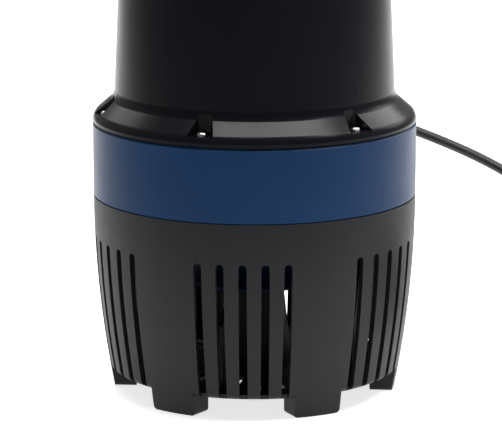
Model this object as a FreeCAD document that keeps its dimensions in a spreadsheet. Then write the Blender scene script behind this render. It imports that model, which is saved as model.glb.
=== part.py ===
import FreeCAD, Part
import math
import os

import Sketcher

from FreeCAD import Placement, Rotation, Vector

doc = FreeCAD.newDocument("fountain_pump")

# ---------------------------------------------------------------- sizes, mm
SIZES = {
    # strainer base
    "ring_rad": 120.0,
    "strainer_top": 147.0,
    "strainer_wall": 4.0,
    "strainer_arc": 742.0,
    "rim_under": 14.5,
    "floor_thick": 3.5,
    "slot_wide": 6.0,
    "slot_top": 117.5,
    "slot_step": 8.0,
    "foot_wide": 37.0,
    "foot_deep": 16.0,
    "post_circle": 97.0,
    "post_rad": 7.0,
    "post_top": 118.0,
    "intake_inner": 52.0,
    "intake_outer": 86.0,
    "intake_wide": 4.0,
    "guide_foot_rad": 28.0,
    "guide_head_rad": 21.0,
    "guide_high": 78.0,
    "fin_inner": 45.0,
    "fin_outer": 88.0,
    "fin_top": 76.0,
    "fin_thick": 3.0,
    # blue ring
    "ring_high": 54.5,
    "ring_wall": 4.0,
    "flow_rad": 100.0,
    "flow_wall": 3.5,
    "hub_rad": 80.0,
    "hub_wall": 4.0,
    "hub_floor": 150.0,
    "ledge_under": 151.0,
    "ledge_thick": 4.0,
    "vane_thick": 3.0,
    "vane_sweep": 24.0,
    "boss_rad": 5.6,
    "shell_screw_circle": 111.0,
    "cover_screw_circle": 108.5,
    # outer shell
    "shell_wall": 4.0,
    "shell_inner": 100.0,
    "crease_rad": 104.0,
    "crease_high": 222.0,
    "cone_top": 362.0,
    "cone_top_rad": 97.6,
    "well_floor": 208.5,
    "neck_rad": 36.0,
    "neck_inner": 30.0,
    "neck_top": 428.0,
    "thread_pitch": 4.0,
    "lug_reach": 78.0,
    "lug_eye": 6.0,
    "lug_thick": 10.0,
    # fasteners
    "screw_rad": 2.0,
    "screw_head": 4.0,
    "screw_head_high": 3.0,
    # rotor
    "shaft_rad": 6.0,
    "shaft_step": 8.5,
    "shaft_bottom": 97.0,
    "impeller_rad": 78.0,
    "impeller_back": 143.0,
    "rotor_rad": 32.5,
    "stack_base": 216.0,
    "stack_high": 80.0,
    # motor
    "can_rad": 69.5,
    "can_wall": 4.0,
    "can_base": 201.5,
    "can_top": 318.0,
    "can_screw_circle": 74.2,
    # cord and gland
    "gland_high": 177.0,
    "gland_seat": 119.0,
    "cord_rad": 4.0,
    "sleeve_end": 170.0,
    "coil_mean": 72.0,
    "coil_wide": 41.0,
    "coil_high": 37.5,
    "coil_east": 312.0,
    "coil_north": 95.0,
    # outlet
    "tail_rad": 25.0,
    "tail_small": 20.0,
    "tail_inner": 16.5,
    "tail_top": 505.0,
    "union_rad": 45.0,
}

sheet = doc.addObject("Spreadsheet::Sheet", "dims")
for row, (alias, amount) in enumerate(SIZES.items(), start=1):
    sheet.set("A%d" % row, alias)
    sheet.set("B%d" % row, str(amount))
    sheet.setAlias("B%d" % row, alias)
doc.recompute()

nodes = {}
UP = Vector(0, 0, 1)
AXIS = Vector(0, 0, 0)


def dim(alias):
    """The sheet's current value."""
    return float(sheet.get(alias))


def amount(term):
    """The number behind a plain value, an alias, or an (alias, offset) pair."""
    if isinstance(term, tuple):
        return dim(term[0]) + term[1]
    if isinstance(term, str):
        return dim(term)
    return float(term)


def formula(term):
    """The same term as an expression on the sheet, or None for a plain value."""
    if isinstance(term, tuple):
        return "dims.%s + %.4f" % term
    if isinstance(term, str):
        return "dims.%s" % term
    return None


def bind(item, prop, term):
    """Set a property from a term and tie it to the sheet."""
    setattr(item, prop, amount(term))
    text = formula(term)
    if text:
        item.setExpression(prop, text)


def keep(node, item):
    """Record an object as one node of the assembly."""
    item.Label = node
    nodes[node] = item
    return item


def origin_plane(body, role):
    """The body's own origin plane with this role."""
    for feature in body.Origin.OriginFeatures:
        if feature.Role == role:
            return feature
    raise ValueError(role)


def turned(name, outline):
    """A PartDesign body turned about Z from a closed outline of (radius, height) terms."""
    body = doc.addObject("PartDesign::Body", name)
    sketch = body.newObject("Sketcher::SketchObject", name + "_outline")
    sketch.AttachmentSupport = [(origin_plane(body, "XZ_Plane"), "")]
    sketch.MapMode = "FlatFace"
    spots = [Vector(amount(r), amount(z), 0) for r, z in outline]
    count = len(spots)
    for i in range(count):
        sketch.addGeometry(Part.LineSegment(spots[i], spots[(i + 1) % count]), False)
    for i in range(count):
        sketch.addConstraint(Sketcher.Constraint("Coincident", i, 2, (i + 1) % count, 1))
    for i, pair in enumerate(outline):
        for term, kind, line in ((pair[0], "DistanceX", -2), (pair[1], "DistanceY", -1)):
            if abs(amount(term)) < 1e-9:
                sketch.addConstraint(Sketcher.Constraint("PointOnObject", i, 1, line))
                continue
            made = sketch.addConstraint(Sketcher.Constraint(kind, -1, 1, i, 1, amount(term)))
            if formula(term):
                sketch.setExpression("Constraints[%d]" % made, formula(term))
    spin = body.newObject("PartDesign::Revolution", name + "_turning")
    spin.Profile = sketch
    spin.ReferenceAxis = (sketch, ["V_Axis"])
    spin.Angle = 360.0
    sketch.Visibility = False
    return body


def cylinder(name, radius, height, place=None):
    """A Part cylinder with its sizes tied to the sheet."""
    item = doc.addObject("Part::Cylinder", name)
    bind(item, "Radius", radius)
    bind(item, "Height", height)
    if place:
        item.Placement = place
    return item


def block(name, size, place):
    """A Part box centred on its own X and Y axes."""
    item = doc.addObject("Part::Box", name)
    bind(item, "Length", size[0])
    bind(item, "Width", size[1])
    bind(item, "Height", size[2])
    shift = Vector(-amount(size[0]) / 2, -amount(size[1]) / 2, 0)
    item.Placement = place.multiply(Placement(shift, Rotation()))
    return item


def cut(name, base, tools):
    """Part cut of one base by several tools."""
    tool = tools[0]
    if len(tools) > 1:
        tool = doc.addObject("Part::Compound", name + "_tools")
        tool.Links = tools
    item = doc.addObject("Part::Cut", name)
    item.Base = base
    item.Tool = tool
    return item


def feature(name, shape, place=None):
    """A Part feature that holds a shape made by Part code."""
    item = doc.addObject("Part::Feature", name)
    item.Shape = shape
    if place:
        item.Placement = place
    return item


def polar(radius, angle, z=0.0):
    """Point at an angle in degrees measured from -Y toward +X."""
    a = math.radians(angle)
    return Vector(radius * math.sin(a), -radius * math.cos(a), z)


def revolved(wire):
    """Solid turned about Z from a closed wire in the XZ plane."""
    return Part.Face(wire).revolve(AXIS, UP, 360)


def line(a, b):
    """Straight edge between two (radius, height) pairs."""
    return Part.LineSegment(Vector(a[0], 0, a[1]), Vector(b[0], 0, b[1])).toShape()


def arc(a, b, c):
    """Arc through three (radius, height) pairs."""
    ends = [Vector(p[0], 0, p[1]) for p in (a, b, c)]
    return Part.Arc(*ends).toShape()


def smooth(points):
    """Smooth curve through (radius, height) pairs."""
    curve = Part.BSplineCurve()
    curve.interpolate([Vector(r, 0, z) for r, z in points])
    return curve.toShape()


def chain(points):
    """Straight edges through (radius, height) pairs."""
    return [line(a, b) for a, b in zip(points[:-1], points[1:])]


def copies(shape, count, start, step):
    """Copies of a shape turned about Z."""
    made = []
    for k in range(count):
        turned_copy = shape.copy()
        turned_copy.rotate(AXIS, UP, start + k * step)
        made.append(turned_copy)
    return made


def drum(radius, height, at, along=UP):
    """Plain cylinder used as a tool."""
    return Part.makeCylinder(radius, height, at, along)


def stadium(low, high, width, depth):
    """Slot tool in the XY plane, round at both ends, from one X to the other, extruded up."""
    half = width / 2
    ends = [Vector(low, half, 0), Vector(high, half, 0), Vector(high, -half, 0), Vector(low, -half, 0)]
    edges = [Part.LineSegment(ends[0], ends[1]).toShape(),
             Part.Arc(ends[1], Vector(high + half, 0, 0), ends[2]).toShape(),
             Part.LineSegment(ends[2], ends[3]).toShape(),
             Part.Arc(ends[3], Vector(low - half, 0, 0), ends[0]).toShape()]
    return Part.Face(Part.Wire(edges)).extrude(Vector(0, 0, depth))


def drilled(radius, height, circle, start, z, count=6):
    """Cylinders on a circle, the first at this angle from -Y toward +X."""
    step = 360.0 / count
    return [drum(radius, height, polar(circle, start + k * step, z)) for k in range(count)]


def screws(name, length, circle, start, z, head_up, scale=1.0):
    """Six pan head screws on a circle as one node of separate solids."""
    shank = dim("screw_rad")
    head = dim("screw_head") * scale
    high = dim("screw_head_high") * scale
    crown = arc((head, high * 0.35), (head * 0.78, high * 0.84), (head * 0.3, high))
    side = chain([(head * 0.3, high), (0, high), (0, -length), (shank - 0.7, -length), (shank, -length + 1.6),
                  (shank, 0), (head, 0), (head, high * 0.35)])
    solid = revolved(Part.Wire(Part.__sortEdges__([crown] + side)))
    wing = head * 1.05
    for turn in (0, 90):
        slot = Part.makeBox(wing, 0.9, 2.0, Vector(-wing / 2, -0.45, high - 1.3))
        slot.rotate(AXIS, UP, turn)
        solid = solid.cut(slot)
    if not head_up:
        solid.rotate(AXIS, Vector(1, 0, 0), 180)
    made = []
    for k in range(6):
        one = solid.copy()
        one.rotate(AXIS, UP, 23 * k)
        one.translate(polar(circle, start + 60 * k, z))
        made.append(one)
    return keep(name, feature(name, Part.makeCompound(made)))


# ---------------------------------------------------------------- strainer base
FOOT_ANGLE = 30.0
SHELL_SCREW_ANGLE = 44.5
GLAND_ANGLE = 180.0


def strainer_radius(z, inset=0.0):
    """Outer radius of the bulged strainer wall at a height."""
    drop = dim("strainer_top") - z
    return dim("ring_rad") - 0.1 - drop * drop / (2 * dim("strainer_arc")) - inset


def strainer_profile(low, inset):
    """Arc of the strainer's wall from a height up to its top edge."""
    top = dim("strainer_top")
    spots = [(strainer_radius(z, inset), z) for z in (low, (low + top) / 2, top)]
    return arc(*spots), spots


def make_strainer():
    """Slotted wall, bottom plate, guide cone, feet and screw posts in one moulding."""
    under = dim("rim_under")
    floor = under + dim("floor_thick")
    wall = dim("strainer_wall")
    outer, out_spots = strainer_profile(0.0, 0.0)
    inner, in_spots = strainer_profile(floor, wall)
    near = strainer_radius(0) - dim("foot_deep")

    # wall, bottom plate, hollow guide cone and the ring that the feet are cut from
    foot_rad = dim("guide_foot_rad")
    tip = dim("guide_head_rad")
    crest = floor + dim("guide_high")
    edges = [outer, line(out_spots[2], in_spots[2]), inner]
    edges += chain([in_spots[0], (foot_rad, floor), (tip, crest - 14)])
    edges.append(arc((tip, crest - 14), (tip * 0.78, crest - 5), (7, crest)))
    edges += chain([(7, crest), (0, crest), (0, crest - 8), (5, crest - 8), (tip - 3.5, crest - 20),
                    (foot_rad - 4, under), (near, under), (near, 0.0), out_spots[0]])
    body = revolved(Part.Wire(Part.__sortEdges__(edges)))

    # gaps between the feet, which round off the wall's lower edge; each foot keeps parallel sides
    wide = dim("foot_wide")
    skirt = [(102.5, under), (107.6, under + 2.4), (110.6, under + 9.0)]
    gap = revolved(Part.Wire([arc(*skirt)] + chain([
        skirt[2], (140, under + 9.0), (140, -1), (near - 6, -1), (near - 6, under), skirt[0]])))
    foot = Part.makeBox(60, wide, under + 12, Vector(near - 10, -wide / 2, 0))
    low_edges = [e for e in foot.Edges if e.BoundBox.ZMax < 0.01 and e.BoundBox.XLength > 1]
    foot = foot.makeFillet(3.0, low_edges)
    body = body.cut(gap.cut(copies(foot, 6, FOOT_ANGLE - 90, 60)))

    # posts behind the solid panels carry the screws, tied to the wall by webs
    circle = dim("post_circle")
    top = dim("post_top")
    post = drum(dim("post_rad"), top - under - 1, Vector(circle, 0, under + 1))
    inside = 1.5 - wall
    levels = (floor - 1, (floor + top) / 2, top)
    corners = [Vector(strainer_radius(z) + inside, -1.5, z) for z in levels]
    corners += [Vector(circle, -1.5, top), Vector(circle, -1.5, floor - 1)]
    web = Part.Face(Part.makePolygon(corners + corners[:1])).extrude(Vector(0, 3, 0))
    body = body.fuse(copies(post.fuse(web), 6, FOOT_ANGLE - 90, 60))

    # wall slots: five in each of the six bays, round at the top and open at the wall's foot
    slot = dim("slot_wide")
    plate_edge = in_spots[0][0] - 0.2
    blade = stadium(under - 2 * slot, dim("slot_top") - slot / 2, slot, 126 - plate_edge)
    blade.rotate(AXIS, Vector(0, 1, 0), -90)
    blade.translate(Vector(126, 0, 0))
    cuts = []
    for bay in range(6):
        for k in range(5):
            cut_here = blade.copy()
            cut_here.rotate(AXIS, UP, 60 * bay + (k - 2) * dim("slot_step") - 90)
            cuts.append(cut_here)
    body = body.cut(cuts)

    # intake slots through the bottom plate
    intake = stadium(dim("intake_inner"), dim("intake_outer"), dim("intake_wide"), 8)
    intake.translate(Vector(0, 0, under - 2))
    body = body.cut(copies(intake, 30, 0, 12))

    # free-standing fins on the bottom plate that stop the water from swirling
    thick = dim("fin_thick")
    near_in, far_out, fin_top = dim("fin_inner"), dim("fin_outer"), dim("fin_top")
    rim = [(near_in, floor - 1), (far_out, floor - 1), (far_out, fin_top - 12), (far_out - 12, fin_top),
           (near_in + 5, fin_top), (near_in, fin_top - 8), (near_in, floor - 1)]
    fin = Part.Face(Part.Wire(chain(rim))).extrude(Vector(0, thick, 0))
    fin.translate(Vector(0, -thick / 2, 0))
    body = body.fuse(copies(fin, 5, 42, 72))

    # screw holes and driver wells through the feet
    body = body.cut(drilled(2.3, 130, circle, FOOT_ANGLE, 1))
    body = body.cut(drilled(4.6, 40, circle, FOOT_ANGLE, -1))
    return body.removeSplitter()


keep("strainer_base", feature("strainer_base", make_strainer()))
screws("strainer_screws", 92.0, dim("post_circle"), FOOT_ANGLE, 39.0, False)


# ---------------------------------------------------------------- suction cover
COVER_FLOW = [(38.0, 106.0), (43.0, 114.0), (56.0, 121.0), (74.0, 125.5), (88.0, 130.5),
              (97.0, 139.0), (99.99, 147.0)]


def make_cover():
    """Bell mouth, neck and bowl of the suction cover, with its screw bosses and flange."""
    thick = 3.0
    mouth = [(38.0, 106.0), (38.6, 97.0), (43.5, 88.0), (52.0, 82.0)]
    flow = smooth(COVER_FLOW)
    bell = smooth(mouth)
    back = [(103.49, 147.0), (100.6, 138.0), (91.0, 128.0), (75.0, 122.4), (57.5, 118.0),
            (45.8, 111.8), (41.2, 105.0)]
    bell_back = [(41.2, 105.0), (41.7, 98.5), (46.0, 90.6), (54.0, 84.6)]
    top = dim("ledge_under")
    edges = [flow, bell, line((52.0, 82.0), (54.0, 84.6)), smooth(bell_back), smooth(back)]
    edges += chain([(103.49, 147.0), (114.6, 147.0), (114.6, top), (99.99, top), (99.99, 147.0)])
    body = revolved(Part.Wire(Part.__sortEdges__(edges)))
    boss_base = dim("post_top")
    bosses = []
    for k in range(6):
        spot = polar(dim("post_circle"), FOOT_ANGLE + 60 * k, boss_base)
        bosses.append(drum(5.5, 16.5, spot))
    inside = revolved(Part.Wire(Part.__sortEdges__(
        [smooth(COVER_FLOW)] + chain([(99.99, 147.0), (99.99, 160), (0, 160), (0, 106.0), (38.0, 106.0)]))))
    body = body.fuse(bosses).cut(inside)
    body = body.cut(drilled(2.05, 13.5, dim("post_circle"), FOOT_ANGLE, boss_base - 0.5))
    body = body.cut(drilled(2.3, 12, dim("cover_screw_circle"), 0, 145))
    return body.removeSplitter()


keep("suction_cover", feature("suction_cover", make_cover()))
screws("cover_screws", 18.0, dim("cover_screw_circle"), 0, 147.0, False, 0.85)


# ---------------------------------------------------------------- blue ring
def make_vane():
    """One swept diffuser vane between hub and flow wall."""
    low = dim("ledge_under") + dim("ledge_thick")
    high = dim("can_base") - 3.0
    near = dim("hub_rad") - 1.5
    far = dim("flow_rad") + 1.5
    half = dim("vane_thick") / 2
    sections = []
    for part in (0.0, 0.25, 0.5, 0.75, 1.0):
        z = low + (high - low) * part
        swing = dim("vane_sweep") * (1 - part) ** 2
        corners = [Vector(near, -half, z), Vector(far, -half, z), Vector(far, half, z),
                   Vector(near, half, z)]
        wire = Part.makePolygon(corners + corners[:1])
        wire.rotate(AXIS, UP, swing)
        sections.append(wire)
    return Part.makeLoft(sections, True, False)


def make_ring():
    """Band, flow wall, hub cup, vanes, screw bosses and cord duct in one moulding."""
    low = dim("strainer_top")
    high = low + dim("ring_high")
    rad = dim("ring_rad")
    wall_in = rad - dim("ring_wall")
    flow = dim("flow_rad")
    flow_out = flow + dim("flow_wall")
    ledge = dim("ledge_under")
    web = ledge + dim("ledge_thick")
    edge = 1.2
    band = [(rad - 4.9, low), (rad - edge, low), (rad, low + edge), (rad, high - edge),
            (rad - edge, high), (wall_in, high), (wall_in, web), (flow_out, web),
            (flow_out, high - 5.0), (flow_out + 4.5, high - 4.0), (flow_out + 4.5, high),
            (flow, high), (flow, ledge), (rad - 4.9, ledge), (rad - 4.9, low)]
    body = revolved(Part.Wire(chain(band)))
    hub = dim("hub_rad")
    inner = hub - dim("hub_wall")
    floor = dim("hub_floor")
    cup = [(16.0, floor), (hub - 3, floor), (hub, floor + 3), (hub, high), (inner, high),
           (inner, floor + 4), (22.0, floor + 4), (22.0, floor + 6), (16.0, floor + 6), (16.0, floor)]
    body = body.fuse(revolved(Part.Wire(chain(cup))))
    body = body.fuse(copies(make_vane(), 9, 84, 40))

    # bosses for the shell screws from above and the cover screws from below
    circle = dim("shell_screw_circle")
    body = body.fuse(drilled(dim("boss_rad"), high - web + 1, circle, SHELL_SCREW_ANGLE, web - 1))
    ribs = []
    for k in range(6):
        rib = Part.makeBox(8.0, 2.5, high - 8 - web, Vector(101.5, -1.25, web - 1))
        rib.rotate(AXIS, UP, SHELL_SCREW_ANGLE + 60 * k - 90)
        ribs.append(rib)
    body = body.fuse(ribs)
    body = body.fuse(drilled(5.4, 12.0, dim("cover_screw_circle"), 0, web - 1))
    # can screws go down into pads on the hub's wall
    pads = drilled(4.8, 16.0, dim("can_screw_circle"), 15, high - 16)
    body = body.fuse(pads)

    # duct that carries the cord through the flow passage, with a flat pad for the gland
    gland = dim("gland_high")
    way = Vector(0, 1, 0)
    body = body.fuse([drum(8.5, 30, Vector(0, 77, gland), way),
                      drum(12.0, 16.5, Vector(0, 101.5, gland), way)])
    body = body.cut([drum(5.2, 46, Vector(0, 70, gland), way),
                     drum(8.05, 30, Vector(0, 103.8, gland), way),
                     drum(14.0, 9.0, Vector(0, dim("gland_seat"), gland), way)])

    # screw holes
    body = body.cut(drilled(2.05, 24, circle, SHELL_SCREW_ANGLE, high - 23.5))
    body = body.cut(drilled(2.05, 16, dim("cover_screw_circle"), 0, ledge - 0.5))
    body = body.cut(drilled(2.05, 16, dim("can_screw_circle"), 15, high - 13))
    return body.removeSplitter()


keep("blue_ring", feature("blue_ring", make_ring()))


# ---------------------------------------------------------------- outer shell
def make_shell():
    """Tapered shell with flared skirt, screw wells, shoulder, lugs and threaded neck."""
    low = dim("strainer_top") + dim("ring_high")
    rad = dim("ring_rad")
    crease_r = dim("crease_rad")
    crease_z = dim("crease_high")
    top_r = dim("cone_top_rad")
    top_z = dim("cone_top")
    neck = dim("neck_rad")
    neck_in = dim("neck_inner")
    neck_top = dim("neck_top")
    wall = dim("shell_wall")
    inner = dim("shell_inner")
    flare = [(rad, low + 3.2), (rad - 0.9, low + 5.8), (rad - 3.0, low + 8.6)]
    foot = (crease_r + 2.6, crease_z - 3.0)
    fillet = [foot, (crease_r + 0.9, crease_z - 0.4), (crease_r - 0.15, crease_z + 3.5)]
    shoulder = [(top_r, top_z), (top_r - 9.0, top_z + 16.5), (top_r - 30, top_z + 27.5)]
    outer = [line((rad - 1.2, low), (rad, low + 1.2)), line((rad, low + 1.2), flare[0]),
             arc(*flare), line(flare[2], foot), arc(*fillet), line(fillet[2], shoulder[0]),
             arc(*shoulder), line(shoulder[2], (neck + 6, top_z + 33)),
             arc((neck + 6, top_z + 33), (neck + 2, top_z + 35.5), (neck, top_z + 40))]
    outer += chain([(neck, top_z + 40), (neck, neck_top - 1.5), (neck - 1.5, neck_top),
                    (neck_in, neck_top), (neck_in, top_z + 34)])
    hollow = [(neck_in, top_z + 34), (neck_in + 3, top_z + 30), (top_r - 32, top_z + 23.5)]
    outer += [arc(*hollow), line(hollow[2], (top_r - 31, top_z + 23.4)),
              arc((top_r - 31, top_z + 23.4), (top_r - 12.3, top_z + 13.6), (top_r - wall, top_z)),
              line((top_r - wall, top_z), (inner - 0.6, crease_z + 6)),
              line((inner - 0.6, crease_z + 6), (inner, crease_z - 4)),
              line((inner, crease_z - 4), (inner, low)),
              line((inner, low), (rad - 1.2, low))]
    body = revolved(Part.Wire(Part.__sortEdges__(outer)))

    # thread ridges on the neck
    pitch = dim("thread_pitch")
    ridges = []
    for k in range(5):
        z = neck_top - 5.0 - pitch * k
        ridge = revolved(Part.Wire(chain([(neck - 1, z - 2.0), (neck, z - 1.6), (neck + 1.5, z - 0.5),
                                          (neck + 1.5, z + 0.5), (neck, z + 1.6), (neck - 1, z + 2.0),
                                          (neck - 1, z - 2.0)])))
        ridges.append(ridge)
    body = body.fuse(ridges)

    # lifting lugs
    lug = dim("lug_thick")
    reach = dim("lug_reach")
    eye_z = top_z + 33
    plate = Part.makeBox(32, lug, 29, Vector(reach - 16, -lug / 2, eye_z - 29))
    crown = drum(16, lug, Vector(reach, -lug / 2, eye_z), Vector(0, 1, 0))
    limb = plate.fuse(crown)
    shade = revolved(Part.Wire(Part.__sortEdges__(
        chain([(0, top_z - 20), (top_r - 2, top_z - 20), (top_r - 2, top_z)])
        + [arc((top_r - 2, top_z), (top_r - 10.5, top_z + 15.2), (top_r - 30, top_z + 25.5))]
        + chain([(top_r - 30, top_z + 25.5), (0, top_z + 25.5), (0, top_z - 20)]))))
    limb = limb.cut(shade)
    body = body.fuse(copies(limb, 2, 0, 180))
    deep = lug + 4
    eyes = [drum(dim("lug_eye"), deep, Vector(side * reach, -deep / 2, eye_z), Vector(0, 1, 0))
            for side in (-1, 1)]
    body = body.cut(eyes)

    # wedge-shaped screw wells, open at the top, with a flat floor above the rim
    floor = dim("well_floor")
    near, far = crease_r + 0.3, rad + 4
    corners = [Vector(near, -4.8, floor), Vector(far, -12.4, floor), Vector(far, 13.4, floor),
               Vector(near, 5.6, floor)]
    well = Part.Face(Part.makePolygon(corners + corners[:1])).extrude(Vector(0, 0, 24))
    uprights = [e for e in well.Edges if e.BoundBox.ZLength > 20 and e.BoundBox.XMax < near + 1]
    well = well.makeFillet(2.5, uprights)
    body = body.cut(copies(well, 6, SHELL_SCREW_ANGLE - 90, 60))
    body = body.cut(drilled(2.3, 14, dim("shell_screw_circle"), SHELL_SCREW_ANGLE, low - 1))
    groove = revolved(Part.Wire(chain([(102.9, low - 1), (106.1, low - 1), (106.1, low + 3.0),
                                       (102.9, low + 3.0), (102.9, low - 1)])))
    return body.cut(groove).removeSplitter()


keep("outer_shell", feature("outer_shell", make_shell()))
screws("shell_screws", 22.0, dim("shell_screw_circle"), SHELL_SCREW_ANGLE, dim("well_floor"), True)

seal = doc.addObject("Part::Torus", "shell_oring")
seal.Radius1 = 104.5
seal.Radius2 = 1.5
seal.setExpression("Placement.Base.z", "dims.strainer_top + dims.ring_high + 1.5")
keep("shell_oring", seal)


# ---------------------------------------------------------------- rotor
shaft = turned("rotor_shaft", [
    (0, "shaft_bottom"), (4.0, "shaft_bottom"), (5.0, ("shaft_bottom", 1.0)), (5.0, 107.0),
    ("shaft_rad", 107.0), ("shaft_rad", 147.0), (7.5, 147.0), (7.5, 171.0),
    ("shaft_step", 171.0), ("shaft_step", 206.0), (11.0, 206.0), (11.0, 213.0), (10.0, 213.0),
    (10.0, 302.0), (7.5, 302.0), (7.5, 317.0), (6.7, 318.0), (0, 318.0)])
keyway = block("shaft_keyway", (4.0, 4.0, 24.0), Placement(Vector(6.0, 0, 114.0), Rotation()))
keep("rotor_shaft", cut("rotor_shaft_cut", shaft, [keyway]))
keep("impeller_key", block("impeller_key", (3.96, 3.92, 23.9),
                           Placement(Vector(6.02, 0, 114.05), Rotation())))

core = turned("rotor_core", [
    (10.0, "stack_base"), ("rotor_rad", "stack_base"), ("rotor_rad", ("stack_base", 80.0)),
    (10.0, ("stack_base", 80.0))])
keep("rotor_core", core)
for end, z in (("lower", 212.0), ("upper", 296.0)):
    ring = turned("rotor_end_ring_" + end, [(24.0, z), (31.5, z), (31.5, z + 4.0), (24.0, z + 4.0)])
    keep("rotor_end_ring_" + end, ring)


def cover_height(radius):
    """Height of the suction cover's flow surface at a radius."""
    for (r0, z0), (r1, z1) in zip(COVER_FLOW[:-1], COVER_FLOW[1:]):
        if r0 <= radius <= r1:
            return z0 + (z1 - z0) * (radius - r0) / (r1 - r0)
    return COVER_FLOW[0][1]


def make_impeller():
    """Semi-open impeller: back plate, hub and six backward-curved blades."""
    back = dim("impeller_back")
    rad = dim("impeller_rad")
    hub = smooth([(13.0, 107.0), (15.5, 116.0), (22.0, 128.0), (36.0, 138.0), (56.0, 142.2), (rad, back)])
    edges = [hub] + chain([(rad, back), (rad, back + 3.2), (14.0, back + 3.2), (14.0, 146.9),
                           (6.03, 146.9), (6.03, 107.0), (13.0, 107.0)])
    body = revolved(Part.Wire(Part.__sortEdges__(edges)))
    front = [(16.0, 108.6), (34.0, 108.6), (37.0, 109.4), (43.0, 117.2), (56.0, 123.6), (rad, 128.6)]
    room = revolved(Part.Wire(Part.__sortEdges__(
        [smooth(front[1:])] + chain([(rad, 128.6), (rad, back + 1), (0, back + 1), (0, 108.6), (34.0, 108.6)]))))
    inner_r, outer_r, wrap, steps = 14.5, rad + 1.0, 105.0, 8
    half = 1.3
    outer_side = []
    inner_side = []
    for k in range(steps + 1):
        part = k / steps
        r = inner_r + (outer_r - inner_r) * part
        a = math.radians(wrap * part)
        spot = Vector(r * math.cos(a), -r * math.sin(a), 100)
        away = Vector(math.sin(a) + 0.35 * math.cos(a), math.cos(a) - 0.35 * math.sin(a), 0)
        away.normalize()
        outer_side.append(spot + away * half)
        inner_side.append(spot - away * half)
    one, two = Part.BSplineCurve(), Part.BSplineCurve()
    one.interpolate(outer_side)
    two.interpolate(inner_side)
    wire = Part.Wire([one.toShape(), Part.LineSegment(outer_side[-1], inner_side[-1]).toShape(),
                      two.toShape(), Part.LineSegment(inner_side[0], outer_side[0]).toShape()])
    blade = Part.Face(wire).extrude(Vector(0, 0, 45)).common(room)
    body = body.fuse(copies(blade, 6, 10, 60))
    slot = Part.makeBox(4.0, 4.0, 60, Vector(4.03, -2.0, 100))
    return body.cut(slot).removeSplitter()


keep("impeller", feature("impeller", make_impeller()))
washer = turned("impeller_washer", [(5.05, 105.0), (10.0, 105.0), (10.0, 107.0), (5.05, 107.0)])
keep("impeller_washer", washer)
hexagon = doc.addObject("Part::Prism", "impeller_nut_body")
hexagon.Polygon = 6
hexagon.Circumradius = 9.2
hexagon.Height = 6.6
hexagon.Placement.Base = Vector(0, 0, 98.4)
nut_bore = cylinder("impeller_nut_bore", 5.05, 10.0, Placement(Vector(0, 0, 97), Rotation()))
keep("impeller_nut", cut("impeller_nut_cut", hexagon, [nut_bore]))

# mechanical seal, lip seal and lower bearing, from the water side up
seat = turned("seal_seat", [(9.5, 151.0), (15.99, 151.0), (15.99, 156.0), (13.0, 156.0),
                            (13.0, 158.0), (9.5, 158.0)])
keep("seal_seat", seat)
turner = turned("seal_turning_half", [(7.55, 158.1), (13.0, 158.1), (13.0, 161.0), (14.5, 162.0),
                                      (14.5, 170.5), (7.55, 170.5)])
keep("seal_turning_half", turner)
lip = turned("lip_seal", [(8.7, 181.2), (17.0, 181.2), (17.0, 187.0), (12.0, 187.0), (12.0, 183.0),
                          (8.7, 184.0)])
keep("lip_seal", lip)


def bearing(prefix, inner, outer, high, z, balls):
    """Deep groove ball bearing as outer race, inner race and balls."""
    mean = (inner + outer) / 2
    ball = (outer - inner) * 0.28
    gap = (outer - inner) * 0.17
    track = ball + 0.08
    half = math.sqrt(track * track - gap * gap)
    middle = z + high / 2
    for part, side, back in (("inner", -1, inner), ("outer", 1, outer)):
        lip = mean + side * gap
        groove = arc((lip, middle - half), (mean + side * track, middle), (lip, middle + half))
        edges = [groove] + chain([(lip, middle + half), (lip, z + high), (back, z + high), (back, z),
                                  (lip, z), (lip, middle - half)])
        keep("%s_%s" % (prefix, part),
             feature(prefix + "_" + part, revolved(Part.Wire(Part.__sortEdges__(edges)))))
    group = []
    for k in range(balls):
        group.append(Part.makeSphere(ball, polar(mean, k * 360.0 / balls, middle)))
    keep(prefix + "_balls", feature(prefix + "_balls", Part.makeCompound(group)))


bearing("lower_bearing", 8.53, 20.0, 12.0, 194.0, 8)
bearing("upper_bearing", 7.53, 17.5, 11.0, 304.0, 8)

clip = turned("bearing_clip", [(8.55, 192.6), (11.5, 192.6), (11.5, 193.9), (8.55, 193.9)])
keep("bearing_clip", clip)


# ---------------------------------------------------------------- bearing bracket and motor can
def make_bracket():
    """Floor of the dry motor space: plate, oil chamber tube and bearing seat."""
    outline = [(33.5, 154.05), (38.0, 154.05), (38.0, 184.0), (66.0, 184.0), (66.0, 188.0),
               (66.0, 190.0), (24.5, 190.0), (24.5, 206.5), (20.02, 206.5), (20.02, 193.0),
               (17.02, 191.0), (17.02, 181.0), (33.5, 181.0), (33.5, 154.05)]
    body = revolved(Part.Wire(chain(outline)))
    rim = revolved(Part.Wire(chain([(63.0, 184.5), (75.9, 184.5), (75.9, 201.45), (72.5, 201.45),
                                    (72.5, 189.5), (63.0, 189.5), (63.0, 184.5)])))
    groove = revolved(Part.Wire(chain([(34.5, 153.0), (37.0, 153.0), (37.0, 156.42), (34.5, 156.42),
                                       (34.5, 153.0)])))
    body = body.fuse(rim).cut(groove)
    pads = drilled(5.4, 20, dim("can_screw_circle"), 15, 184)
    wires = [drum(6.0, 12, polar(54, a, 182)) for a in (150, 210)]
    return body.cut(pads + wires).removeSplitter()


keep("bearing_bracket", feature("bearing_bracket", make_bracket()))

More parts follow.
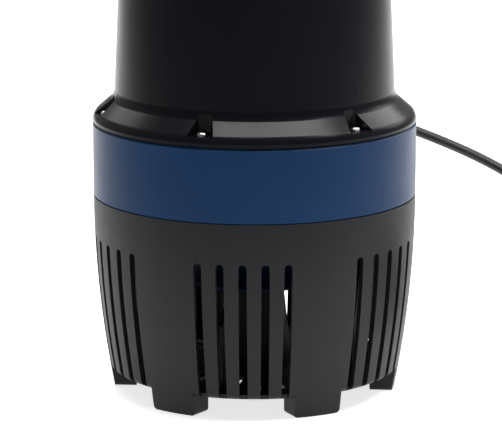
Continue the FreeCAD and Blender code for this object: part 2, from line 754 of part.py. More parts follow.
can_inner = dim("can_rad") - dim("can_wall")
can = turned("motor_can", [
    (can_inner, "can_base"), (79.5, "can_base"), (79.5, ("can_base", 4.0)),
    ("can_rad", ("can_base", 7.0)), ("can_rad", ("can_top", 0.0)), (can_inner, ("can_top", 0.0))])
can_holes = [cylinder("can_hole_%d" % k, 2.3, 12.0,
                      Placement(polar(dim("can_screw_circle"), 15 + 60 * k, dim("can_base") - 1),
                                Rotation()))
             for k in range(6)]
can_seats = [cylinder("can_seat_%d" % k, 4.4, 12.0,
                      Placement(polar(dim("can_screw_circle"), 15 + 60 * k, dim("can_base") + 4),
                                Rotation()))
             for k in range(6)]
keep("motor_can", cut("motor_can_cut", can, can_holes + can_seats))


def make_can_screws():
    """Socket screws that hold the can to the blue ring's hub."""
    made = []
    for k in range(6):
        spot = polar(dim("can_screw_circle"), 15 + 60 * k, dim("can_base") + 4)
        head = drum(3.4, 3.4, spot)
        shank = drum(2.0, 16.0, spot - Vector(0, 0, 16.0))
        socket = drum(1.6, 2.0, spot + Vector(0, 0, 1.8))
        made.append(head.fuse(shank).cut(socket))
    return Part.makeCompound(made)


keep("can_screws", feature("can_screws", make_can_screws()))

bracket_seal = doc.addObject("Part::Torus", "bracket_oring")
bracket_seal.Radius1 = 35.75
bracket_seal.Radius2 = 1.2
bracket_seal.Placement.Base = Vector(0, 0, 155.2)
keep("bracket_oring", bracket_seal)


def make_stator():
    """Laminated stack with closed wedge slots round the bore."""
    base = dim("stack_base")
    high = dim("stack_high")
    out = can_inner - 0.05
    body = drum(out, high, Vector(0, 0, base)).cut(drum(33.0, high, Vector(0, 0, base)))
    slot = Part.makeBox(17.0, 5.0, high, Vector(35.5, -2.5, base))
    return body.cut(copies(slot, 24, 0, 15))


def make_windings():
    """Copper end turns joined through the stack's slots."""
    base = dim("stack_base")
    high = dim("stack_high")
    low = revolved(Part.Wire(chain([(37.0, base - 10), (50.0, base - 10), (52.4, base - 6), (52.4, base),
                                    (35.7, base), (35.7, base - 6), (37.0, base - 10)])))
    top_z = base + high
    top = revolved(Part.Wire(chain([(35.7, top_z), (52.4, top_z), (52.4, top_z + 4), (50.0, top_z + 7),
                                    (38.0, top_z + 7), (35.7, top_z + 4), (35.7, top_z)])))
    bar = Part.makeBox(14.6, 4.6, high + 2, Vector(36.6, -2.3, base - 1))
    return low.fuse([top] + copies(bar, 24, 0, 15)).removeSplitter()


keep("stator_core", feature("stator_core", make_stator()))
keep("windings", feature("windings", make_windings()))

can_lid = turned("motor_cap", [
    (0, 330.0), (0, 326.0), (14.0, 326.0), (14.0, 318.5), (17.52, 318.5), (17.52, 303.5), (21.0, 303.5),
    (21.0, 312.0), (can_inner - 0.1, 312.0), (can_inner - 0.1, 313.4), (can_inner - 2.4, 313.4),
    (can_inner - 2.4, 316.0), (can_inner - 0.1, 316.0), (can_inner - 0.1, "can_top"),
    ("can_rad", "can_top"), ("can_rad", ("can_top", 4.0)), (60.0, ("can_top", 8.0)),
    (24.0, ("can_top", 12.0))])
keep("motor_cap", can_lid)

cap_seal = doc.addObject("Part::Torus", "cap_oring")
cap_seal.Radius1 = can_inner - 1.2
cap_seal.Radius2 = 1.15
cap_seal.Placement.Base = Vector(0, 0, 314.7)
keep("cap_oring", cap_seal)

wave = turned("wave_washer", [(13.0, 315.1), (17.4, 315.1), (17.4, 316.3), (13.0, 316.3)])
keep("wave_washer", wave)

clamp = turned("cap_band", [("can_rad", 312.0), (("can_rad", 2.5), 312.0), (("can_rad", 2.5), 321.0),
                            ("can_rad", 321.0)])
keep("cap_band", clamp)

keep("run_capacitor", block("run_capacitor", (50.0, 22.0, 24.0),
                            Placement(Vector(0, -55.0, 156.5), Rotation())))


def make_terminals():
    """Three-way terminal block beside the cord's inner end."""
    body = Part.makeBox(26.0, 13.0, 15.0, Vector(-13, 49, 168))
    holes = [drum(2.4, 8.0, Vector(x, 55.5, 177)) for x in (-8, 0, 8)]
    return body.cut(holes)


keep("terminal_block", feature("terminal_block", make_terminals()))


# ---------------------------------------------------------------- cord gland
def sideways(item):
    """Turn a piece made about Z so that its +Z points to +Y at the gland's height."""
    seat = Vector(0, dim("gland_seat") - 120.0, dim("gland_high"))
    item.Placement = Placement(seat, Rotation(Vector(1, 0, 0), -90))
    item.setExpression("Placement.Base.y", "dims.gland_seat - 120")
    item.setExpression("Placement.Base.z", "dims.gland_high")
    return item


gland_base = turned("gland_body_turning", [
    (4.4, 105.0), (8.0, 105.0), (8.0, 120.0), (12.5, 120.0), (12.5, 127.0), (9.0, 127.0), (9.0, 134.0),
    (7.1, 134.0), (7.1, 122.0), (4.4, 122.0)])
gland_hex = doc.addObject("Part::Prism", "gland_hex")
gland_hex.Polygon = 6
gland_hex.Circumradius = 13.2
gland_hex.Height = 40
gland_hex.Placement.Base = Vector(0, 0, 100)
gland_body = doc.addObject("Part::Common", "gland_body_common")
gland_body.Base = gland_base
gland_body.Tool = gland_hex
keep("gland_body", sideways(gland_body))

grommet = turned("gland_grommet", [(4.05, 122.0), (7.05, 122.0), (7.05, 134.0), (4.05, 134.0)])
keep("gland_grommet", sideways(grommet))

nut_turning = turned("gland_nut_turning", [
    (9.05, 127.6), (11.8, 127.6), (11.8, 136.0), (10.0, 141.0), (7.6, 142.0), (7.6, 137.0), (9.05, 134.3)])
keep("gland_nut", sideways(nut_turning))

sleeve = turned("strain_relief", [
    (4.03, 134.2), (7.5, 134.2), (7.5, 146.0), (4.9, "sleeve_end"), (4.03, "sleeve_end")])
keep("strain_relief", sideways(sleeve))

lead = cylinder("lead_inside", "cord_rad", 68.0)
keep("lead_inside", lead)
lead.Placement = Placement(Vector(0, 62, dim("gland_high")), Rotation(Vector(1, 0, 0), -90))

# ---------------------------------------------------------------- cord
ROUTE = [
    Vector(0, 130, 177), Vector(0, 195, 177), Vector(20, 246, 172), Vector(68, 268, 160),
    Vector(128, 257, 142), Vector(182, 232, 123), Vector(232, 210, 94), Vector(276, 198, 54),
    Vector(318, 193, 19), Vector(357, 177, 6),
]
LIE = 0.45


def rounded_route(points):
    """Straight runs joined by tangent arcs; also prints each bend's radius."""
    edges = []
    start = points[0]
    for before, corner, after in zip(points[:-2], points[1:-1], points[2:]):
        back = before - corner
        ahead = after - corner
        shorter = min(back.Length, ahead.Length)
        reach = LIE * shorter
        half_turn = (math.pi - back.getAngle(ahead)) / 2
        print("bend radius %.1f" % (reach / math.tan(half_turn)))
        back.normalize()
        ahead.normalize()
        enter = corner + back * reach
        leave = corner + ahead * reach
        bisect = back + ahead
        bisect.normalize()
        radius = reach / math.tan(half_turn)
        middle = corner + bisect * (radius / math.cos(half_turn) - radius)
        edges.append(Part.LineSegment(start, enter).toShape())
        edges.append(Part.Arc(enter, middle, leave).toShape())
        start = leave
    edges.append(Part.LineSegment(start, points[-1]).toShape())
    return Part.Wire(edges)


def make_cord():
    """Round cord along its uncoiled stretch."""
    spine = rounded_route(ROUTE)
    radius = dim("cord_rad")
    way = ROUTE[1] - ROUTE[0]
    ring = Part.Wire(Part.makeCircle(radius, ROUTE[0], way))
    tube = spine.makePipeShell([ring], True, False)
    expected = math.pi * radius * radius * spine.Length
    print("cord volume %.1f of %.1f, length %.1f" % (tube.Volume, expected, spine.Length))
    return tube


keep("cord_tube", feature("cord_tube", make_cord()))


def make_coil():
    """Outer shape of the coil that the spare cord is put away in."""
    mean, wide, high = dim("coil_mean"), dim("coil_wide"), dim("coil_high")
    low, far = mean - wide / 2, mean + wide / 2
    bend = 4.0
    rise = [line((low + bend, 0), (far - bend, 0)),
            arc((far - bend, 0), (far - bend * 0.293, bend * 0.293), (far, bend)),
            line((far, bend), (far, high - bend)),
            arc((far, high - bend), (far - bend * 0.293, high - bend * 0.293), (far - bend, high)),
            line((far - bend, high), (low + bend, high)),
            arc((low + bend, high), (low + bend * 0.293, high - bend * 0.293), (low, high - bend)),
            line((low, high - bend), (low, bend)),
            arc((low, bend), (low + bend * 0.293, bend * 0.293), (low + bend, 0))]
    ring = revolved(Part.Wire(rise))
    ring.translate(Vector(dim("coil_east"), dim("coil_north"), 0))
    return ring


keep("cord_coil", feature("cord_coil", make_coil()))


def make_tie():
    """Strap round the coil's section."""
    mean, wide, high = dim("coil_mean"), dim("coil_wide"), dim("coil_high")
    outer = Part.makeBox(wide + 3.2, 9.0, high + 3.2, Vector(mean - wide / 2 - 1.6, -4.5, -1.6))
    outer = outer.common(Part.makeBox(200, 200, 200, Vector(-50, -100, 0)))
    outer.translate(Vector(dim("coil_east"), dim("coil_north"), 0))
    outer.rotate(Vector(dim("coil_east"), dim("coil_north"), 0), UP, 205)
    return outer.cut(nodes["cord_coil"].Shape)


keep("cord_tie", feature("cord_tie", make_tie()))


def make_plug():
    """Moulded two-pin plug that lies on top of the coil."""
    outline = [(0, 0), (5.2, 0), (6.4, 14.0), (9.0, 20.0), (12.5, 26.0), (13.5, 36.0), (13.5, 46.0),
               (12.0, 48.0), (0, 48.0), (0, 0)]
    body = revolved(Part.Wire(chain(outline)))
    flat = Part.makeBox(60, 60, 60, Vector(-30, -30, -5))
    flat.translate(Vector(0, 30 + 8.5, 0))
    other = Part.makeBox(60, 60, 60, Vector(-30, -30, -5))
    other.translate(Vector(0, -30 - 8.5, 0))
    body = body.cut([flat, other])
    return body


PLUG_PLACE = Placement(Vector(dim("coil_east") + 22, dim("coil_north") - 72, dim("coil_high") + 8.5),
                       Rotation(Vector(0, 1, 0), -90).multiply(Rotation(Vector(0, 0, 1), 90)))
keep("plug_body", feature("plug_body", make_plug(), PLUG_PLACE))


def make_pins():
    """Two round plug pins."""
    made = []
    for side in (-1, 1):
        pin = drum(2.4, 19.0, Vector(side * 9.5, 0, 48.0))
        made.append(pin)
    return Part.makeCompound(made)


keep("plug_pins", feature("plug_pins", make_pins(), PLUG_PLACE))


# ---------------------------------------------------------------- outlet
gasket = turned("outlet_gasket", [
    ("neck_inner", "neck_top"), (35.4, "neck_top"), (35.4, ("neck_top", 2.5)),
    ("neck_inner", ("neck_top", 2.5))])
keep("outlet_gasket", gasket)

barbs = [("tail_inner", "tail_top"), ("tail_inner", ("neck_top", 12.0)), (27.0, ("neck_top", 2.5)),
         (35.4, ("neck_top", 2.5)), (35.4, ("neck_top", 6.5)), (("tail_rad", -0.4), ("neck_top", 6.5)),
         (("tail_rad", -0.4), ("neck_top", 13.0)), ("tail_rad", ("neck_top", 13.0)), ("tail_rad", 467.0), (("tail_rad", -1.5), 468.5), ("tail_small", 469.0)]
for k in range(4):
    barbs += [("tail_small", 472.0 + 8 * k), (("tail_small", 1.3), 472.1 + 8 * k)]
barbs += [("tail_small", 503.5), (("tail_small", -1.2), "tail_top")]
keep("hose_tail", turned("hose_tail", barbs))

slip = turned("slip_ring", [(26.0, ("neck_top", 6.55)), (35.4, ("neck_top", 6.55)),
                            (35.4, ("neck_top", 8.5)), (26.0, ("neck_top", 8.5))])
keep("slip_ring", slip)


def make_union():
    """Union nut: plain bore, inner lip over the tail's flange and grip ribs."""
    top = dim("neck_top") + 13.0
    low = top - 36.0
    lip = dim("neck_top") + 8.55
    rad = dim("union_rad")
    body = revolved(Part.Wire(chain([
        (38.0, low), (rad - 1, low), (rad, low + 1), (rad, top - 4), (rad - 4, top), (27.0, top),
        (27.0, lip), (38.0, lip), (38.0, low)])))
    rib = drum(2.2, 28.0, Vector(rad, 0, low + 2))
    return body.fuse(copies(rib, 12, 15, 30)).removeSplitter()


keep("union_nut", feature("union_nut", make_union()))

# ---------------------------------------------------------------- checks and export
doc.recompute()
for item in doc.Objects:
    if "Invalid" in item.State or "Error" in item.State:
        raise RuntimeError("%s is %s" % (item.Label, item.State))
os.makedirs("parts", exist_ok=True)
for node, item in nodes.items():
    shape = item.Shape
    if shape.isNull() or not shape.isValid():
        raise RuntimeError(node + " has no valid shape")
    shape.exportStep("parts/%s.step" % node)
    box = shape.BoundBox
    print("%-24s solids %2d volume %10.1f z %.1f..%.1f" % (
        node, len(shape.Solids), shape.Volume, box.ZMin, box.ZMax))
print("nodes", len(nodes))
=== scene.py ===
import math

import bmesh
import bpy
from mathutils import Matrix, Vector


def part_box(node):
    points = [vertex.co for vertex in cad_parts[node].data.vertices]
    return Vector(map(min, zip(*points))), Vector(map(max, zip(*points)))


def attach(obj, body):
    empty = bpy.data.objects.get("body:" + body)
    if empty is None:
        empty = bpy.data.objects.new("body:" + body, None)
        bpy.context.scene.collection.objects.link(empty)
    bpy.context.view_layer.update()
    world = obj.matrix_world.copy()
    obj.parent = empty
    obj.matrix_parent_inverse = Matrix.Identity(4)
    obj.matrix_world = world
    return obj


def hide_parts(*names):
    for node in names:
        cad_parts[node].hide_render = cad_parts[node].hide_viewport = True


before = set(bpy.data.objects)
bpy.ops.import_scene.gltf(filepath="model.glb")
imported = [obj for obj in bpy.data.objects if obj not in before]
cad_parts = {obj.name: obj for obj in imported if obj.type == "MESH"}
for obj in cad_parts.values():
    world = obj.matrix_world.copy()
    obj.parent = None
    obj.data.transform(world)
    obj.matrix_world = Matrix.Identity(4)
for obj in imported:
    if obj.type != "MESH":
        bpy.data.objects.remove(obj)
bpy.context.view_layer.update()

MM = 0.001

# ---------------------------------------------------------------- places taken from the frame
COIL_LOW, COIL_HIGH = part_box("cord_coil")
SLEEVE_LOW, SLEEVE_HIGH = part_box("strain_relief")
NUT_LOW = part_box("gland_nut")[0]
GLAND_Z = (SLEEVE_LOW[2] + SLEEVE_HIGH[2]) / 2

# ---------------------------------------------------------------- camera
VIEW_TURN = math.radians(4.2)
VIEW_TILT = math.radians(12.1)
VIEW_REACH = 2.4
VIEW_AIM = Vector((0.0, 0.0, 0.1289))
SENSOR_WIDTH = 36.0
LENS = 230.3
LENS_SHIFT = -0.0072
FAR_CLIP = 20.0


def make_camera():
    """Long lens camera, slightly to the right of the front and looking a little down."""
    data = bpy.data.cameras.new("camera")
    data.sensor_width = SENSOR_WIDTH
    data.lens = LENS
    data.shift_x = LENS_SHIFT
    data.clip_end = FAR_CLIP
    camera = bpy.data.objects.new("camera", data)
    level = math.cos(VIEW_TILT)
    away = Vector((math.sin(VIEW_TURN) * level, -math.cos(VIEW_TURN) * level, math.sin(VIEW_TILT)))
    camera.location = VIEW_AIM + away * VIEW_REACH
    camera.rotation_euler = (-away).to_track_quat("-Z", "Y").to_euler()
    bpy.context.scene.collection.objects.link(camera)
    bpy.context.scene.camera = camera


make_camera()


# ---------------------------------------------------------------- material helpers
MIX_FACTOR, MIX_BASE, MIX_OVER, MIX_RESULT = 0, 6, 7, 2     # the mix node's sockets for colours


def new_material(name):
    """Node material; returns the material, its tree and its Principled shader."""
    material = bpy.data.materials.new(name)
    material.use_nodes = True
    tree = material.node_tree
    return material, tree, tree.nodes["Principled BSDF"]


def noise(tree, scale, detail, rough, distort=0.0):
    """Noise texture in object space."""
    made = tree.nodes.new("ShaderNodeTexNoise")
    made.inputs["Scale"].default_value = scale
    made.inputs["Detail"].default_value = detail
    made.inputs["Roughness"].default_value = rough
    made.inputs["Distortion"].default_value = distort
    spot = tree.nodes.new("ShaderNodeTexCoord")
    tree.links.new(spot.outputs["Object"], made.inputs["Vector"])
    return made


def ramp(tree, source, stops):
    """Colour ramp over a factor; stops are (position, colour)."""
    made = tree.nodes.new("ShaderNodeValToRGB")
    band = made.color_ramp
    while len(band.elements) < len(stops):
        band.elements.new(0.5)
    for element, (place, colour) in zip(band.elements, stops):
        element.position = place
        element.color = (*colour, 1.0)
    tree.links.new(source, made.inputs["Fac"])
    return made.outputs["Color"]


def spread(tree, source, given, wanted):
    """Map a value from the given range to the wanted one, and hold it at their ends."""
    made = tree.nodes.new("ShaderNodeMapRange")
    made.inputs["From Min"].default_value, made.inputs["From Max"].default_value = given
    made.inputs["To Min"].default_value, made.inputs["To Max"].default_value = wanted
    tree.links.new(source, made.inputs["Value"])
    return made.outputs["Result"]


def mix(tree, factor, base, colour):
    """Lay a colour over a colour socket by a factor."""
    made = tree.nodes.new("ShaderNodeMix")
    made.data_type = "RGBA"
    tree.links.new(base, made.inputs[MIX_BASE])
    made.inputs[MIX_OVER].default_value = (*colour, 1.0)
    tree.links.new(factor, made.inputs[MIX_FACTOR])
    return made.outputs[MIX_RESULT]


def larger(tree, one, two):
    """The larger of two values."""
    made = tree.nodes.new("ShaderNodeMath")
    made.operation = "MAXIMUM"
    tree.links.new(one, made.inputs[0])
    tree.links.new(two, made.inputs[1])
    return made.outputs["Value"]


def bump(tree, shader, height, strength, distance):
    """Fine relief from a height socket; distance is its depth in metres."""
    made = tree.nodes.new("ShaderNodeBump")
    made.inputs["Strength"].default_value = strength
    made.inputs["Distance"].default_value = distance
    tree.links.new(height, made.inputs["Height"])
    tree.links.new(made.outputs["Normal"], shader.inputs["Normal"])


def moulded_plastic(name, colour, worn, rough, shine, grain):
    """Injection moulded plastic: fine grain, faint flow clouds, light specks and uneven shine."""
    material, tree, shader = new_material(name)
    clouds = noise(tree, scale=9.0, detail=3.0, rough=0.5)
    specks = noise(tree, scale=420.0, detail=3.0, rough=0.6)
    fine = noise(tree, scale=2600.0, detail=2.0, rough=0.5)
    scuffs = noise(tree, scale=34.0, detail=6.0, rough=0.72, distort=1.4)
    darker = tuple(c * 0.93 for c in colour)
    lighter = tuple(c * 1.07 for c in colour)
    base = ramp(tree, clouds.outputs["Fac"], [(0.32, darker), (0.52, colour), (0.72, lighter)])
    speck = spread(tree, specks.outputs["Fac"], (0.66, 0.8), (0.0, 0.12))
    base = mix(tree, speck, base, worn)
    tree.links.new(base, shader.inputs["Base Color"])
    uneven = spread(tree, scuffs.outputs["Fac"], (0.35, 0.7), (rough - 0.03, rough + 0.03))
    tree.links.new(uneven, shader.inputs["Roughness"])
    shader.inputs["IOR"].default_value = 1.5
    shader.inputs["Specular IOR Level"].default_value = shine
    bump(tree, shader, fine.outputs["Fac"], grain, 0.0004)
    return material


def metal(name, colour, rough, brushed, scale=700.0):
    """Bare metal with fine brushing and small darker stains."""
    material, tree, shader = new_material(name)
    shader.inputs["Metallic"].default_value = 1.0
    brush = noise(tree, scale=scale, detail=2.0, rough=0.5)
    stain = noise(tree, scale=60.0, detail=5.0, rough=0.65)
    darker = tuple(c * 0.7 for c in colour)
    base = ramp(tree, stain.outputs["Fac"], [(0.3, darker), (0.5, colour), (0.8, colour)])
    tree.links.new(base, shader.inputs["Base Color"])
    uneven = spread(tree, brush.outputs["Fac"], (0.3, 0.7), (rough * 0.7, rough * 1.4))
    tree.links.new(uneven, shader.inputs["Roughness"])
    bump(tree, shader, brush.outputs["Fac"], brushed, 0.0001)
    return material


def rubber(name, colour, rough, grain_scale):
    """Soft moulded rubber with a dusty bloom."""
    material, tree, shader = new_material(name)
    bloom = noise(tree, scale=45.0, detail=5.0, rough=0.65)
    fine = noise(tree, scale=grain_scale, detail=2.0, rough=0.5)
    pale = tuple(c * 1.9 + 0.004 for c in colour)
    base = ramp(tree, bloom.outputs["Fac"], [(0.35, colour), (0.75, pale)])
    tree.links.new(base, shader.inputs["Base Color"])
    uneven = spread(tree, bloom.outputs["Fac"], (0.3, 0.7), (rough - 0.08, rough + 0.14))
    tree.links.new(uneven, shader.inputs["Roughness"])
    bump(tree, shader, fine.outputs["Fac"], 0.25, 0.0002)
    return material


# ---------------------------------------------------------------- materials
SHELL = moulded_plastic("shell_plastic", (0.0068, 0.007, 0.0092), (0.012, 0.012, 0.013),
                        rough=0.24, shine=0.15, grain=0.05)
BAND = moulded_plastic("navy_plastic", (0.0072, 0.0365, 0.109), (0.03, 0.07, 0.16),
                       rough=0.33, shine=0.13, grain=0.06)
GRILLE = moulded_plastic("charcoal_plastic", (0.0108, 0.0113, 0.0132), (0.036, 0.036, 0.038),
                         rough=0.46, shine=0.22, grain=0.2)
NAVY_INNER = moulded_plastic("navy_inner_plastic", (0.004, 0.0135, 0.04), (0.02, 0.04, 0.09),
                             rough=0.42, shine=0.2, grain=0.1)
FITTING = moulded_plastic("fitting_plastic", (0.0075, 0.0077, 0.0088), (0.022, 0.022, 0.024),
                          rough=0.36, shine=0.3, grain=0.2)
NYLON = moulded_plastic("nylon", (0.008, 0.008, 0.009), (0.03, 0.03, 0.03),
                        rough=0.36, shine=0.35, grain=0.15)
PALE = moulded_plastic("pale_plastic", (0.62, 0.6, 0.54), (0.75, 0.73, 0.68),
                       rough=0.42, shine=0.5, grain=0.2)
CERAMIC = moulded_plastic("ceramic", (0.74, 0.72, 0.66), (0.85, 0.84, 0.8),
                          rough=0.16, shine=0.6, grain=0.05)
STAINLESS = metal("stainless", (0.76, 0.76, 0.77), rough=0.16, brushed=0.15)
STEEL = metal("ground_steel", (0.56, 0.56, 0.58), rough=0.3, brushed=0.3)
BEARING = metal("bearing_steel", (0.72, 0.72, 0.75), rough=0.1, brushed=0.05)
LAMINATE = metal("laminations", (0.22, 0.22, 0.24), rough=0.45, brushed=0.5)
CAST = metal("cast_alloy", (0.52, 0.53, 0.55), rough=0.45, brushed=0.6, scale=420.0)
COPPER = metal("copper", (0.72, 0.3, 0.13), rough=0.28, brushed=0.4)
PIN_METAL = metal("pin_metal", (0.72, 0.62, 0.42), rough=0.2, brushed=0.15)
RUBBER = rubber("seal_rubber", (0.012, 0.012, 0.012), rough=0.5, grain_scale=1500.0)
CORD = rubber("cord_rubber", (0.0095, 0.0095, 0.0105), rough=0.46, grain_scale=900.0)

CAD_LOOKS = {
    "strainer_base": GRILLE, "strainer_screws": STAINLESS, "suction_cover": NAVY_INNER,
    "cover_screws": STAINLESS, "blue_ring": BAND, "outer_shell": SHELL, "shell_screws": STAINLESS,
    "shell_oring": RUBBER, "rotor_shaft": STEEL, "impeller_key": STEEL, "rotor_core": LAMINATE,
    "rotor_end_ring_lower": CAST, "rotor_end_ring_upper": CAST, "impeller": FITTING,
    "impeller_washer": STAINLESS, "impeller_nut": STAINLESS, "seal_seat": CERAMIC,
    "seal_turning_half": NYLON, "lip_seal": RUBBER, "lower_bearing_inner": BEARING,
    "lower_bearing_outer": BEARING, "lower_bearing_balls": BEARING, "upper_bearing_inner": BEARING,
    "upper_bearing_outer": BEARING, "upper_bearing_balls": BEARING, "bearing_clip": STEEL,
    "bearing_bracket": CAST, "bracket_oring": RUBBER, "motor_can": STEEL, "can_screws": STAINLESS,
    "stator_core": LAMINATE, "windings": COPPER, "motor_cap": CAST, "cap_oring": RUBBER,
    "wave_washer": STEEL, "cap_band": STAINLESS, "run_capacitor": PALE, "terminal_block": PALE,
    "gland_body": NYLON, "gland_grommet": RUBBER, "gland_nut": NYLON, "strain_relief": CORD,
    "lead_inside": CORD, "outlet_gasket": RUBBER, "hose_tail": FITTING, "slip_ring": PALE,
    "union_nut": FITTING, "plug_body": CORD, "plug_pins": PIN_METAL, "cord_tie": NYLON,
}


def dress(obj, material):
    """Give an object one material."""
    if not obj.data.materials:
        obj.data.materials.append(material)
    for slot in obj.material_slots:
        slot.material = material


for name, material in CAD_LOOKS.items():
    dress(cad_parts[name], material)

# ---------------------------------------------------------------- cord
CORD_DIAMETER = 0.008
ROUTE = [                                   # millimetres
    (0, 130, 177), (0, 195, 177), (20, 246, 172), (68, 268, 160), (128, 257, 142), (182, 232, 123),
    (232, 210, 94), (276, 198, 54), (318, 193, 19), (357, 177, 6),
]
TAIL = [(369, 46, 34.5), (359, 33, 38), (347, 25, 43), (334, 23, 46)]
COIL_COLUMNS = 5
COIL_LAYERS = 4
COIL_RADIUS = 9 * CORD_DIAMETER             # of the middle column
COLUMN_PITCH = 1.02 * CORD_DIAMETER
LAYER_RISE = 0.93 * CORD_DIAMETER
TOP_RISE = 0.875 * CORD_DIAMETER            # the last turn lies between two columns
FLOOR_GAP = 0.0002
TURN_STEPS = 16
MOVE_PART = 0.3                             # part of a turn in which the cord moves to its next seat
END_STEPS = 4                               # a quarter turn more, up to the tail


def coil_seats(start_radius, start_z):
    """Radius and height at the start of each turn, from the floor up and back and forth."""
    seats = [(start_radius, start_z)]
    low = CORD_DIAMETER / 2 + FLOOR_GAP
    for layer in range(COIL_LAYERS):
        order = range(COIL_COLUMNS) if layer % 2 else reversed(range(COIL_COLUMNS))
        for column in order:
            aside = (column - (COIL_COLUMNS - 1) / 2) * COLUMN_PITCH
            seats.append((COIL_RADIUS + aside, low + layer * LAYER_RISE))
    seats.append((COIL_RADIUS + COLUMN_PITCH / 2, low + (COIL_LAYERS - 1) * LAYER_RISE + TOP_RISE))
    return seats


def cord_points():
    """The loose stretch from the listed points, the coil's turns by a loop, and the end to the plug."""
    points = [Vector(p) * MM for p in ROUTE]
    centre = Vector(((COIL_LOW[0] + COIL_HIGH[0]) / 2, (COIL_LOW[1] + COIL_HIGH[1]) / 2, 0))
    start = points[-1] - centre
    start_angle = math.atan2(start.y, start.x)

    def on_coil(radius, z, turns):
        angle = start_angle - 2 * math.pi * turns
        return centre + Vector((radius * math.cos(angle), radius * math.sin(angle), z))

    seats = coil_seats(math.hypot(start.x, start.y), points[-1].z)
    for turn, ((r0, z0), (r1, z1)) in enumerate(zip(seats, seats[1:])):
        for step in range(1, TURN_STEPS + 1):
            part = step / TURN_STEPS
            ease = min(1.0, part / MOVE_PART)
            ease = ease * ease * (3 - 2 * ease)
            points.append(on_coil(r0 + (r1 - r0) * ease, z0 + (z1 - z0) * ease, turn + part))
    for step in range(1, END_STEPS + 1):
        points.append(on_coil(*seats[-1], step / TURN_STEPS))
    return points + [Vector(p) * MM for p in TAIL]


def make_cord():
    """Round black cord as one smooth spline."""
    data = bpy.data.curves.new("cord", "CURVE")
    data.dimensions = "3D"
    data.bevel_depth = CORD_DIAMETER / 2
    data.bevel_resolution = 6
    data.resolution_u = 6
    data.use_fill_caps = True
    line = data.splines.new("NURBS")
    points = cord_points()
    line.points.add(len(points) - 1)
    for target, point in zip(line.points, points):
        target.co = (*point, 1.0)
    line.order_u = 3
    line.use_endpoint_u = True
    cord = bpy.data.objects.new("cord", data)
    bpy.context.scene.collection.objects.link(cord)
    dress(cord, CORD)
    return cord


# ---------------------------------------------------------------- gland nut and strain relief
# Sizes of both are in millimetres, along the gland's axis and out from it.
ROUND_STEPS = 96
SHARP_ANGLE = math.radians(38)
NUT_RIBS = 18
RIB_DEPTH = 0.9
SLEEVE_RADIUS = 7.45
SLEEVE_BORE = 4.05
SLEEVE_STRAIGHT = 9.0                       # length before the taper
SLEEVE_TAPER = 2.6                          # radius lost over the rest
GROOVE_FIRST = 10.2
GROOVE_PITCH = 3.7
GROOVE_COUNT = 7
# One groove, as depth below the taper and distance from its start.
GROOVE = ((0.0, 0.0), (0.25, 0.3), (1.0, 0.6), (1.0, 1.3), (0.3, 1.6), (0.1, 1.9))


def turned_piece(name, rings, start, material, ribs=0):
    """Solid turned about the gland's axis from (radius, distance, rib depth) rings in millimetres."""
    form = bmesh.new()
    rows = []
    for radius, along, depth in rings:
        row = []
        for k in range(ROUND_STEPS):
            angle = 2 * math.pi * k / ROUND_STEPS
            dip = depth * (0.5 - 0.5 * math.cos(ribs * angle)) ** 2
            reach = (radius - dip) * MM
            row.append(form.verts.new((reach * math.cos(angle), start + along * MM,
                                       GLAND_Z + reach * math.sin(angle))))
        rows.append(row)
    for one, two in zip(rows, rows[1:] + rows[:1]):
        for k in range(ROUND_STEPS):
            after = (k + 1) % ROUND_STEPS
            form.faces.new((one[k], one[after], two[after], two[k]))
    bmesh.ops.recalc_face_normals(form, faces=form.faces)
    mesh = bpy.data.meshes.new(name)
    form.to_mesh(mesh)
    form.free()
    mesh.shade_smooth()
    mesh.set_sharp_from_angle(angle=SHARP_ANGLE)
    piece = bpy.data.objects.new(name, mesh)
    bpy.context.scene.collection.objects.link(piece)
    dress(piece, material)
    return piece


def make_gland_nut():
    """Gland nut with rounded grip ribs and a domed end."""
    rings = [(9.05, 0.0, 0), (11.1, 0.0, 0), (11.7, 0.7, RIB_DEPTH), (11.75, 1.4, RIB_DEPTH),
             (11.75, 7.4, RIB_DEPTH), (11.5, 8.4, RIB_DEPTH), (10.9, 9.6, 0), (10.3, 11.6, 0),
             (9.6, 13.2, 0), (8.6, 14.2, 0), (7.65, 14.4, 0), (7.65, 9.5, 0), (9.05, 6.8, 0)]
    return turned_piece("gland_nut_ribbed", rings, NUT_LOW[1], NYLON, NUT_RIBS)


def make_strain_relief():
    """Tapered sleeve with a row of flex grooves."""
    full = (SLEEVE_HIGH[1] - SLEEVE_LOW[1]) / MM
    rings = [(SLEEVE_BORE, 0.0, 0), (SLEEVE_RADIUS - 0.25, 0.0, 0), (SLEEVE_RADIUS, 0.4, 0),
             (SLEEVE_RADIUS, SLEEVE_STRAIGHT, 0)]
    for k in range(GROOVE_COUNT):
        low = GROOVE_FIRST + k * GROOVE_PITCH
        crest = SLEEVE_RADIUS - SLEEVE_TAPER * (low - SLEEVE_STRAIGHT) / (full - SLEEVE_STRAIGHT)
        rings += [(crest - deep, low + along, 0) for deep, along in GROOVE]
    rings += [(4.75, full - 0.4, 0), (4.5, full - 0.05, 0), (SLEEVE_BORE, full - 0.05, 0)]
    return turned_piece("strain_relief_grooved", rings, SLEEVE_LOW[1], CORD)


cord = make_cord()
gland_nut = make_gland_nut()
strain_relief = make_strain_relief()
for piece, stands_for, slot in ((cord, ("cord_tube", "cord_coil"), "cord_rubber"),
                                (gland_nut, ("gland_nut",), "gland_plastic"),
                                (strain_relief, ("strain_relief",), "cord_rubber")):
    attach(piece, "housing")
    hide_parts(*stands_for)


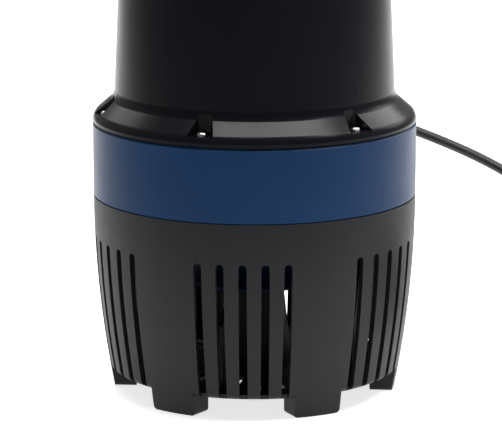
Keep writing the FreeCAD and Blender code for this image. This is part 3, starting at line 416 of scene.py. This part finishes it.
# ---------------------------------------------------------------- floor and light
FLOOR_HALF = 6.0
FLOOR_DROP = 0.0002
FLOOR_GLOW = 0.75
GLOW_CENTRE = (0.0, 1.2, 0.0)
GLOW_FADE = (1.45, 2.1)                     # distances at which the glow starts to fade and ends
WORLD_STRENGTH = (0.10, 0.28)               # in front and behind


def make_floor():
    """Wide pale floor that glows round the object like a light table, and to the camera all over."""
    mesh = bpy.data.meshes.new("floor")
    form = bmesh.new()
    corners = [form.verts.new((x * FLOOR_HALF, y * FLOOR_HALF, -FLOOR_DROP))
               for x, y in ((-1, -1), (1, -1), (1, 1), (-1, 1))]
    form.faces.new(corners)
    form.to_mesh(mesh)
    form.free()
    floor = bpy.data.objects.new("floor", mesh)
    bpy.context.scene.collection.objects.link(floor)
    material, tree, shader = new_material("floor_paint")
    grain = noise(tree, scale=3.0, detail=4.0, rough=0.5)
    base = ramp(tree, grain.outputs["Fac"], [(0.3, (0.93, 0.93, 0.935)), (0.7, (0.95, 0.95, 0.95))])
    tree.links.new(base, shader.inputs["Base Color"])
    shader.inputs["Roughness"].default_value = 0.9
    shader.inputs["Emission Color"].default_value = (1.0, 1.0, 1.0, 1.0)
    distance = tree.nodes.new("ShaderNodeVectorMath")
    distance.operation = "DISTANCE"
    spot = tree.nodes.new("ShaderNodeTexCoord")
    tree.links.new(spot.outputs["Object"], distance.inputs[0])
    distance.inputs[1].default_value = GLOW_CENTRE
    lit = spread(tree, distance.outputs["Value"], GLOW_FADE, (FLOOR_GLOW, 0.0))
    seen = tree.nodes.new("ShaderNodeLightPath")
    pale = spread(tree, seen.outputs["Is Camera Ray"], (0.0, 1.0), (0.0, FLOOR_GLOW))
    tree.links.new(larger(tree, lit, pale), shader.inputs["Emission Strength"])
    dress(floor, material)


def area_light(name, place, target, size, power):
    """Soft white rectangular light facing a point; power is in watts."""
    data = bpy.data.lights.new(name, "AREA")
    data.shape = "RECTANGLE"
    data.size, data.size_y = size
    data.energy = power
    light = bpy.data.objects.new(name, data)
    light.location = place
    aim = Vector(target) - Vector(place)
    light.rotation_euler = aim.to_track_quat("-Z", "Y").to_euler()
    bpy.context.scene.collection.objects.link(light)


def make_light():
    """White studio: a world dim in front and brighter behind, a softbox above and two panels behind."""
    world = bpy.data.worlds.new("studio")
    bpy.context.scene.world = world
    world.use_nodes = True
    tree = world.node_tree
    heading = tree.nodes.new("ShaderNodeTexCoord")
    parts = tree.nodes.new("ShaderNodeSeparateXYZ")
    tree.links.new(heading.outputs["Generated"], parts.inputs["Vector"])
    glow = spread(tree, parts.outputs["Y"], (-0.3, 0.35), WORLD_STRENGTH)
    seen = tree.nodes.new("ShaderNodeLightPath")
    background = tree.nodes["Background"]
    background.inputs["Color"].default_value = (1.0, 1.0, 1.0, 1.0)
    tree.links.new(larger(tree, glow, seen.outputs["Is Camera Ray"]), background.inputs["Strength"])
    area_light("overhead_softbox", place=(0.3, -0.05, 1.25), target=(0.3, -0.05, 0.0),
               size=(1.3, 0.42), power=18)
    area_light("right_back_panel", place=(0.95, 0.9, 0.95), target=(0, 0, 0.2),
               size=(0.8, 0.8), power=4)
    area_light("back_ceiling", place=(0, 2.5, 2.0), target=(0, 2.2, 0.0),
               size=(5.0, 2.4), power=75)


make_floor()
make_light()
bpy.context.scene.view_settings.view_transform = "Standard"
